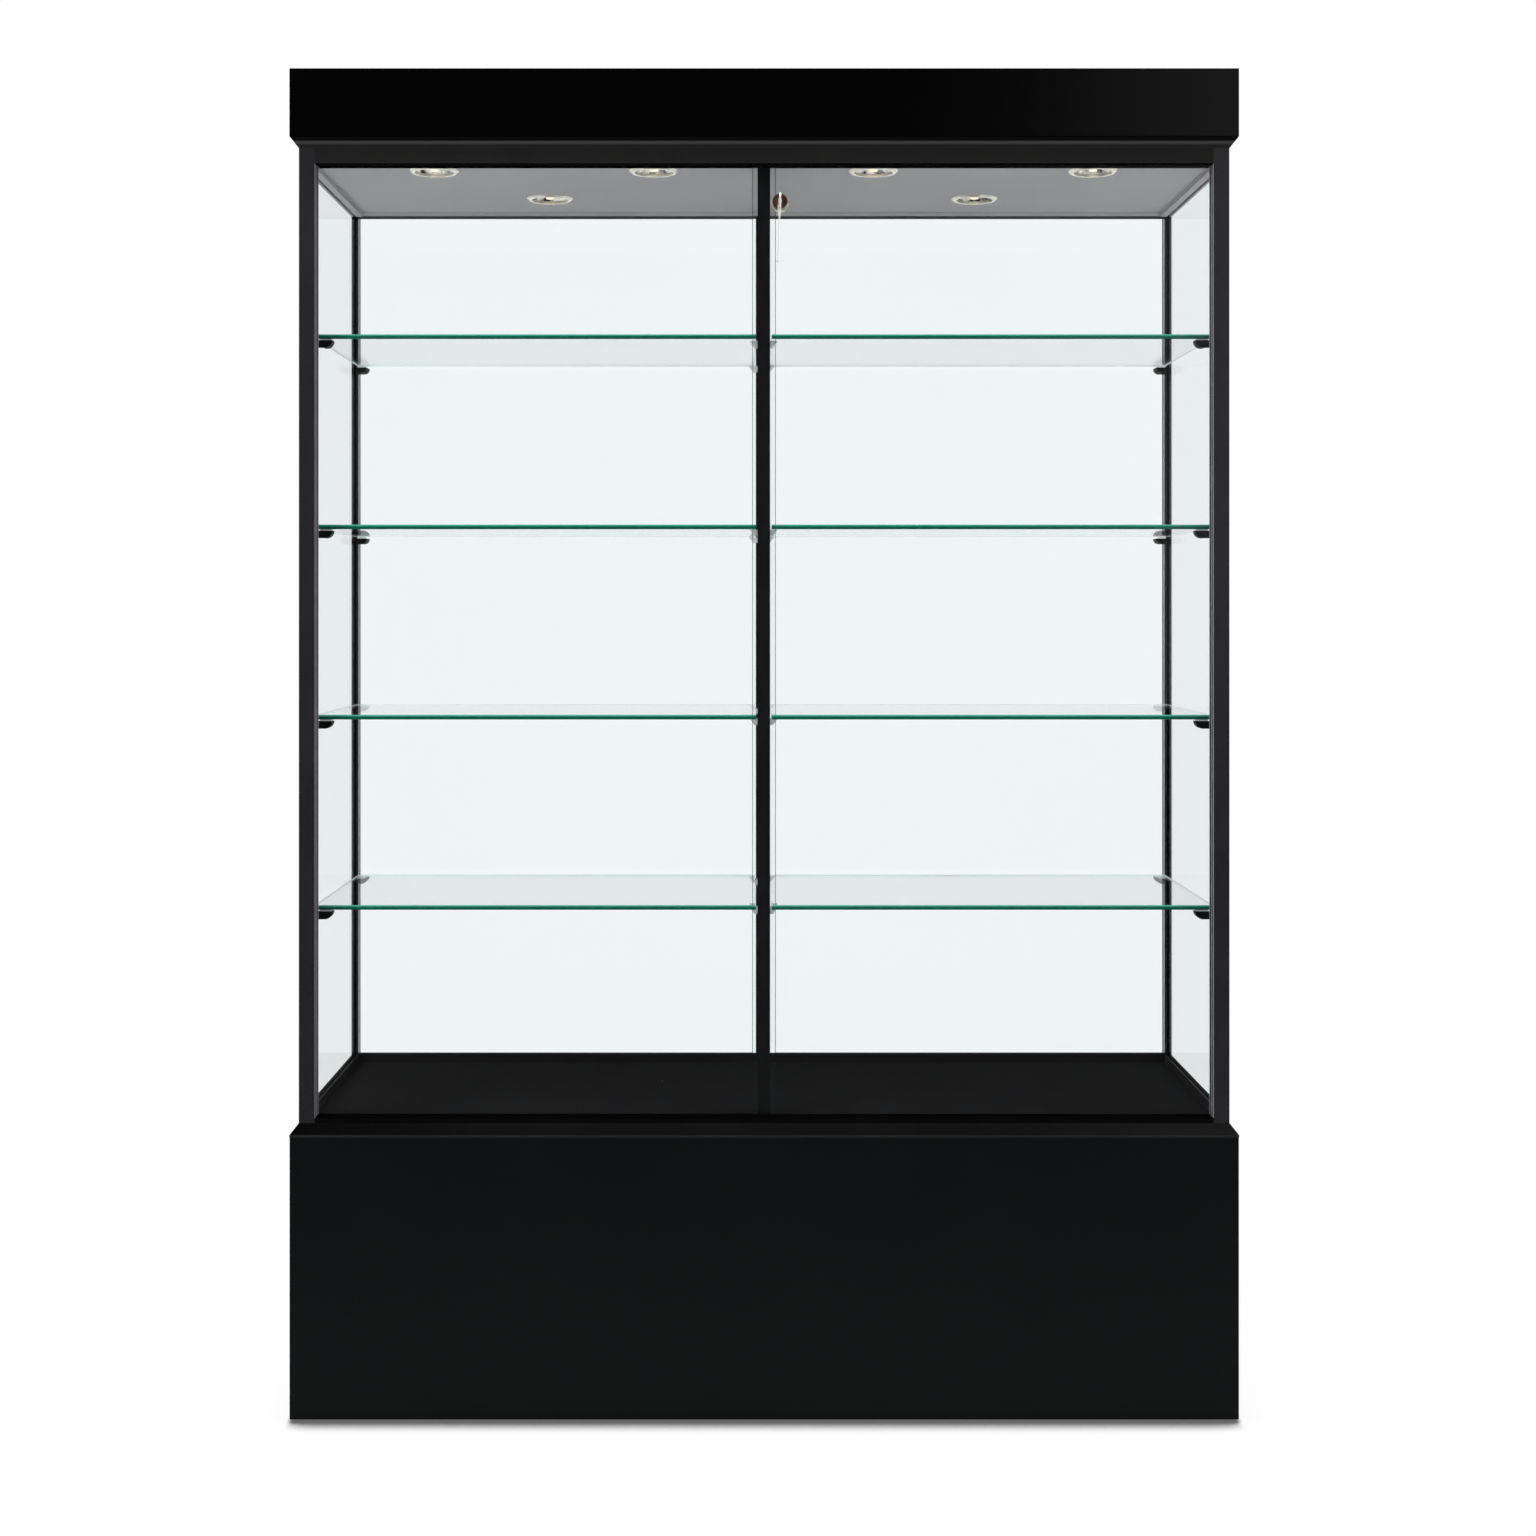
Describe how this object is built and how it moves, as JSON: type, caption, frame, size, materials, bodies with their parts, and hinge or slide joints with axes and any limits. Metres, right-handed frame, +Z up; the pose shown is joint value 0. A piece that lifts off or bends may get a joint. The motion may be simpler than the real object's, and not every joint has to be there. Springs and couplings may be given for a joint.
{
  "type": "glass display case",
  "caption": "Tall free-standing glass display case with sliding glass doors, glass shelves, a lit header and a black plinth.",
  "frame": {"origin": "centre of the case's footprint, on the floor that it stands on", "axes": "+Z up, +Y towards the back of the case, +X to the right as seen from the front"},
  "size_m": [1.2, 0.419, 1.712],
  "materials": {
    "black_laminate_board": "satin black laminate on fibreboard",
    "black_aluminium_profile": "black powder-coated extruded profile",
    "clear_float_glass": "clear float glass, edges ground",
    "black_moulded_plastic": "moulded black nylon",
    "clear_moulded_plastic": "clear moulded polycarbonate",
    "grey_ceiling_paint": "matt grey paint on fibreboard",
    "bright_chrome": "bright chrome plate",
    "bright_aluminium": "spun and polished aluminium",
    "lamp_glass": "frosted lamp capsule, lit",
    "galvanised_steel": "galvanised sheet steel",
    "grey_plastic_case": "moulded light grey plastic",
    "nickel_key_steel": "nickel-plated steel",
    "pale_cotton_thread": "twisted cotton thread"
  },
  "bodies": {
    "case": {"cable_gland": "black_moulded_plastic", "ceiling_panel": "grey_ceiling_paint", "centre_clips": "clear_moulded_plastic", "clip_pads": "clear_moulded_plastic", "downlight_bezels": "bright_chrome", "downlight_housings": "galvanised_steel", "downlight_lamps": "lamp_glass", "downlight_reflectors": "bright_aluminium", "downlight_springs": "galvanised_steel", "front_bottom_track": "black_aluminium_profile", "front_left_post": "black_aluminium_profile", "front_mullion": "black_aluminium_profile", "front_right_post": "black_aluminium_profile", "front_top_rail": "black_aluminium_profile", "header_back_board": "black_laminate_board", "header_front_board": "black_laminate_board", "header_left_board": "black_laminate_board", "header_right_board": "black_laminate_board", "header_top_board": "black_laminate_board", "highest_left_shelf": "clear_float_glass", "highest_right_shelf": "clear_float_glass", "lamp_driver": "grey_plastic_case", "lamp_leads": "black_moulded_plastic", "left_back_glass": "clear_float_glass", "left_bottom_rail": "black_aluminium_profile", "left_side_glass": "clear_float_glass", "left_top_rail": "black_aluminium_profile", "levelling_feet": "black_moulded_plastic", "lower_left_shelf": "clear_float_glass", "lower_right_shelf": "clear_float_glass", "lowest_left_shelf": "clear_float_glass", "lowest_right_shelf": "clear_float_glass", "plinth_back_board": "black_laminate_board", "plinth_base_board": "black_laminate_board", "plinth_divider": "black_laminate_board", "plinth_front_board": "black_laminate_board", "plinth_left_board": "black_laminate_board", "plinth_right_board": "black_laminate_board", "plinth_top": "black_laminate_board", "rear_bottom_rail": "black_aluminium_profile", "rear_left_post": "black_aluminium_profile", "rear_mullion": "black_aluminium_profile", "rear_right_post": "black_aluminium_profile", "rear_top_rail": "black_aluminium_profile", "right_back_glass": "clear_float_glass", "right_bottom_rail": "black_aluminium_profile", "right_side_glass": "clear_float_glass", "right_top_rail": "black_aluminium_profile", "shelf_clips": "black_moulded_plastic", "upper_left_shelf": "clear_float_glass", "upper_right_shelf": "clear_float_glass"},
    "left_door": {"left_door_glass": "clear_float_glass", "left_door_glides": "black_moulded_plastic"},
    "right_door": {"right_door_glass": "clear_float_glass", "right_door_glides": "black_moulded_plastic", "lock_barrel": "bright_chrome", "lock_nut": "bright_chrome", "key_thread": "pale_cotton_thread"},
    "key": {"lock_plug": "nickel_key_steel", "lock_key": "nickel_key_steel"}
  },
  "joints": [
    {"name": "left_door_slide", "type": "slide", "parent": "case", "child": "left_door", "axis": [1, 0, 0], "range_m": [0, 0.55]},
    {"name": "right_door_slide", "type": "slide", "parent": "case", "child": "right_door", "axis": [1, 0, 0], "range_m": [-0.55, 0]},
    {"name": "key_turn", "type": "hinge", "parent": "right_door", "child": "key", "pos_m": [0.02, -0.195, 1.545], "axis": [0, 1, 0], "range_deg": [0, 90]}
  ]
}
